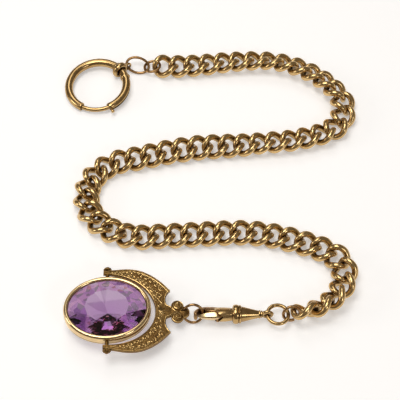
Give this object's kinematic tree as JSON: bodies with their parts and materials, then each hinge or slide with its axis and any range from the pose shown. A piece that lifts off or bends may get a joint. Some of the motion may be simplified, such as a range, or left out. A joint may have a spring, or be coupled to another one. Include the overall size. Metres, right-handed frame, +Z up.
{
  "type": "pocket watch chain",
  "caption": "Gold pocket watch chain: sprung bolt ring, curb links laid in an S, swivel clip and a turning oval amethyst fob in a crescent yoke.",
  "frame": {"origin": "middle of the footprint, on the surface the chain lies on", "axes": "+X along the clip from fob to chain, +Y along the length of the S, +Z up"},
  "size_m": [0.0938, 0.113, 0.0085],
  "materials": {
    "link_gold": "polished",
    "tube_gold": "polished",
    "ring_gold": "worn polish",
    "yoke_gold": "engraved, matt",
    "bezel_gold": "bright polish",
    "amethyst": "faceted, polished"
  },
  "bodies": {
    "links_01_02": {"links_01_02": "link_gold"},
    "links_03_04": {"links_03_04": "link_gold"},
    "links_05_06": {"links_05_06": "link_gold"},
    "links_07_08": {"links_07_08": "link_gold"},
    "links_09_10": {"links_09_10": "link_gold"},
    "links_11_12": {"links_11_12": "link_gold"},
    "links_13_14": {"links_13_14": "link_gold"},
    "links_15_16": {"links_15_16": "link_gold"},
    "links_17_18": {"links_17_18": "link_gold"},
    "links_19_20": {"links_19_20": "link_gold"},
    "links_21_22": {"links_21_22": "link_gold"},
    "links_23_24": {"links_23_24": "link_gold"},
    "links_25_26": {"links_25_26": "link_gold"},
    "links_27_28": {"links_27_28": "link_gold"},
    "links_29_30": {"links_29_30": "link_gold"},
    "links_31_32": {"links_31_32": "link_gold"},
    "links_33_34": {"links_33_34": "link_gold"},
    "links_35_36": {"links_35_36": "link_gold"},
    "links_37_38": {"links_37_38": "link_gold"},
    "links_39_40": {"links_39_40": "link_gold"},
    "links_41_42": {"links_41_42": "link_gold"},
    "links_43_44": {"links_43_44": "link_gold"},
    "links_45_46": {"links_45_46": "link_gold"},
    "links_47_48": {"links_47_48": "link_gold"},
    "links_49_50": {"links_49_50": "link_gold"},
    "links_51_52": {"links_51_52": "link_gold"},
    "links_53_54": {"links_53_54": "link_gold"},
    "links_55_56": {"links_55_56": "link_gold"},
    "small_ring": {"small_ring": "ring_gold"},
    "oval_loop": {"oval_loop": "ring_gold"},
    "swivel_band": {"swivel_band": "tube_gold"},
    "bolt_ring": {"bolt_ring_tube": "tube_gold"},
    "bolt": {"bolt": "tube_gold"},
    "jump_ring": {"jump_ring": "ring_gold"},
    "swivel_ring": {"swivel_ring": "tube_gold"},
    "swivel_eye": {"swivel_eye": "tube_gold"},
    "clip": {"clip_body": "tube_gold", "lever_pin": "ring_gold"},
    "lever": {"lever": "tube_gold"},
    "fob_ring": {"fob_ring": "ring_gold"},
    "yoke": {"yoke": "yoke_gold", "finial": "yoke_gold", "pivot_far": "yoke_gold", "pivot_near": "yoke_gold"},
    "stone": {"bezel": "bezel_gold", "amethyst": "amethyst"}
  },
  "joints": [
    {"name": "small_ring_swing", "type": "hinge", "parent": "links_01_02", "child": "small_ring", "pos_m": [-0.01782, 0.05057, 0.00243], "axis": [0, 0, 1], "range_deg": [-25, 25]},
    {"name": "oval_loop_swing", "type": "hinge", "parent": "small_ring", "child": "oval_loop", "pos_m": [-0.02122, 0.05092, 0.0025], "axis": [0, 1, 0], "range_deg": [-9, 9]},
    {"name": "band_swing", "type": "hinge", "parent": "oval_loop", "child": "swivel_band", "pos_m": [-0.02685, 0.051, 0.00188], "axis": [0, 0, 1], "range_deg": [-12, 12]},
    {"name": "bolt_ring_turn", "type": "hinge", "parent": "swivel_band", "child": "bolt_ring", "pos_m": [-0.02925, 0.04892, 0.00276], "axis": [-0.6561, 0.7547, 0], "range_deg": [-60, 60]},
    {"name": "bolt_slide", "type": "hinge", "parent": "bolt_ring", "child": "bolt", "pos_m": [-0.03632, 0.04277, 0.00202], "axis": [-0.0598, -0.052, 0.9969], "range_deg": [0, 50], "stiffness_Nm_per_rad": 0.0003, "springref_deg": -11.46},
    {"name": "jump_ring_swing", "type": "hinge", "parent": "links_55_56", "child": "jump_ring", "pos_m": [0.02404, -0.04203, 0.00395], "axis": [0, 0, 1], "range_deg": [-12, 14]},
    {"name": "swivel_ring_swing", "type": "hinge", "parent": "jump_ring", "child": "swivel_ring", "pos_m": [0.02208, -0.04208, 0.00295], "axis": [0, 1, 0], "range_deg": [-15, 15]},
    {"name": "eye_swing", "type": "hinge", "parent": "swivel_ring", "child": "swivel_eye", "pos_m": [0.01648, -0.04213, 0.0031], "axis": [0, 1, 0], "range_deg": [-40, 40]},
    {"name": "clip_swivel", "type": "hinge", "parent": "swivel_eye", "child": "clip", "pos_m": [0.01348, -0.04213, 0.0031], "axis": [1, 0, 0], "continuous": true},
    {"name": "lever_press", "type": "hinge", "parent": "clip", "child": "lever", "pos_m": [0.00208, -0.04336, 0.00396], "axis": [0, 0.5736, 0.8192], "range_deg": [-12, 0], "stiffness_Nm_per_rad": 0.0002, "springref_deg": 5.73},
    {"name": "fob_ring_swing", "type": "hinge", "parent": "clip", "child": "fob_ring", "pos_m": [-0.00217, -0.04176, 0.00284], "axis": [0, 0.5736, 0.8192], "range_deg": [-22, 22]},
    {"name": "fob_swing", "type": "hinge", "parent": "fob_ring", "child": "yoke", "pos_m": [-0.00787, -0.04176, 0.00284], "axis": [0, 0.5736, 0.8192], "range_deg": [-25, 25]},
    {"name": "stone_turn", "type": "hinge", "parent": "yoke", "child": "stone", "pos_m": [-0.02973, -0.04223, 0.006], "axis": [-0.0279, 0.9996, 0], "continuous": true},
    {"name": "drape_25_26", "type": "hinge", "parent": "links_27_28", "child": "links_25_26", "pos_m": [-0.01042, 0.01634, 0.00265], "axis": [0.1865, -0.9825, 0], "range_deg": [-20, 20]},
    {"name": "bend_23_24", "type": "hinge", "parent": "links_25_26", "child": "links_23_24", "pos_m": [-0.00063, 0.01776, 0.00268], "axis": [0, 0, -1], "range_deg": [-18, 18]},
    {"name": "drape_21_22", "type": "hinge", "parent": "links_23_24", "child": "links_21_22", "pos_m": [0.00923, 0.01861, 0.00241], "axis": [-0.085, 0.9964, 0], "range_deg": [-20, 20]},
    {"name": "bend_19_20", "type": "hinge", "parent": "links_21_22", "child": "links_19_20", "pos_m": [0.0191, 0.0195, 0.00273], "axis": [0, 0, 1], "range_deg": [-18, 18]},
    {"name": "drape_17_18", "type": "hinge", "parent": "links_19_20", "child": "links_17_18", "pos_m": [0.02888, 0.02097, 0.00273], "axis": [0.225, -0.9744, 0], "range_deg": [-20, 20]},
    {"name": "bend_15_16", "type": "hinge", "parent": "links_17_18", "child": "links_15_16", "pos_m": [0.03808, 0.02439, 0.00257], "axis": [0, 0, -1], "range_deg": [-12, 18]},
    {"name": "drape_13_14", "type": "hinge", "parent": "links_15_16", "child": "links_13_14", "pos_m": [0.04281, 0.03255, 0.00259], "axis": [-0.9977, 0.0676, 0], "range_deg": [-20, 20]},
    {"name": "bend_11_12", "type": "hinge", "parent": "links_13_14", "child": "links_11_12", "pos_m": [0.03946, 0.04151, 0.00309], "axis": [0, 0, 1], "range_deg": [-18, 11]},
    {"name": "drape_09_10", "type": "hinge", "parent": "links_11_12", "child": "links_09_10", "pos_m": [0.03199, 0.04791, 0.00312], "axis": [0.5206, 0.8538, 0], "range_deg": [-20, 20]},
    {"name": "bend_07_08", "type": "hinge", "parent": "links_09_10", "child": "links_07_08", "pos_m": [0.02287, 0.05163, 0.00314], "axis": [0, 0, -1], "range_deg": [-12, 18]},
    {"name": "drape_05_06", "type": "hinge", "parent": "links_07_08", "child": "links_05_06", "pos_m": [0.01305, 0.05244, 0.00291], "axis": [0.0291, -0.9996, 0], "range_deg": [-20, 20]},
    {"name": "bend_03_04", "type": "hinge", "parent": "links_05_06", "child": "links_03_04", "pos_m": [0.00317, 0.05175, 0.00259], "axis": [0, 0, 1], "range_deg": [-18, 18]},
    {"name": "drape_01_02", "type": "hinge", "parent": "links_03_04", "child": "links_01_02", "pos_m": [-0.00668, 0.05079, 0.00232], "axis": [-0.061, 0.9981, 0], "range_deg": [-20, 20]},
    {"name": "drape_29_30", "type": "hinge", "parent": "links_27_28", "child": "links_29_30", "pos_m": [-0.02007, 0.01415, 0.00248], "axis": [-0.2377, 0.9713, 0], "range_deg": [-20, 20]},
    {"name": "bend_31_32", "type": "hinge", "parent": "links_29_30", "child": "links_31_32", "pos_m": [-0.02962, 0.01162, 0.0023], "axis": [0, 0, -1], "range_deg": [-14, 18]},
    {"name": "drape_33_34", "type": "hinge", "parent": "links_31_32", "child": "links_33_34", "pos_m": [-0.03658, 0.00502, 0.00225], "axis": [0.9051, -0.4253, 0], "range_deg": [-20, 20]},
    {"name": "bend_35_36", "type": "hinge", "parent": "links_33_34", "child": "links_35_36", "pos_m": [-0.03722, -0.00455, 0.00225], "axis": [0, 0, 1], "range_deg": [-18, 12]},
    {"name": "drape_37_38", "type": "hinge", "parent": "links_35_36", "child": "links_37_38", "pos_m": [-0.03127, -0.01214, 0.00225], "axis": [-0.5471, -0.8371, 0], "range_deg": [-20, 20]},
    {"name": "bend_39_40", "type": "hinge", "parent": "links_37_38", "child": "links_39_40", "pos_m": [-0.02202, -0.01523, 0.00225], "axis": [0, 0, -1], "range_deg": [-18, 18]},
    {"name": "drape_41_42", "type": "hinge", "parent": "links_39_40", "child": "links_41_42", "pos_m": [-0.01214, -0.01492, 0.00225], "axis": [-0.061, 0.9981, 0], "range_deg": [-20, 20]},
    {"name": "bend_43_44", "type": "hinge", "parent": "links_41_42", "child": "links_43_44", "pos_m": [-0.00226, -0.01431, 0.00225], "axis": [0, 0, 1], "range_deg": [-18, 18]},
    {"name": "drape_45_46", "type": "hinge", "parent": "links_43_44", "child": "links_45_46", "pos_m": [0.00762, -0.01382, 0.00225], "axis": [0.0116, -0.9999, 0], "range_deg": [-20, 20]},
    {"name": "bend_47_48", "type": "hinge", "parent": "links_45_46", "child": "links_47_48", "pos_m": [0.01747, -0.01468, 0.00225], "axis": [0, 0, -1], "range_deg": [-18, 13]},
    {"name": "drape_49_50", "type": "hinge", "parent": "links_47_48", "child": "links_49_50", "pos_m": [0.02702, -0.01722, 0.00225], "axis": [0.3173, 0.9483, 0], "range_deg": [-20, 20]},
    {"name": "bend_51_52", "type": "hinge", "parent": "links_49_50", "child": "links_51_52", "pos_m": [0.03593, -0.02134, 0.00242], "axis": [0, 0, 1], "range_deg": [-8, 18]},
    {"name": "drape_53_54", "type": "hinge", "parent": "links_51_52", "child": "links_53_54", "pos_m": [0.03934, -0.02999, 0.00308], "axis": [-0.989, 0.1478, 0], "range_deg": [-20, 20]},
    {"name": "bend_55_56", "type": "hinge", "parent": "links_53_54", "child": "links_55_56", "pos_m": [0.03432, -0.03816, 0.00363], "axis": [0, 0, -1], "range_deg": [-18, 8]}
  ]
}
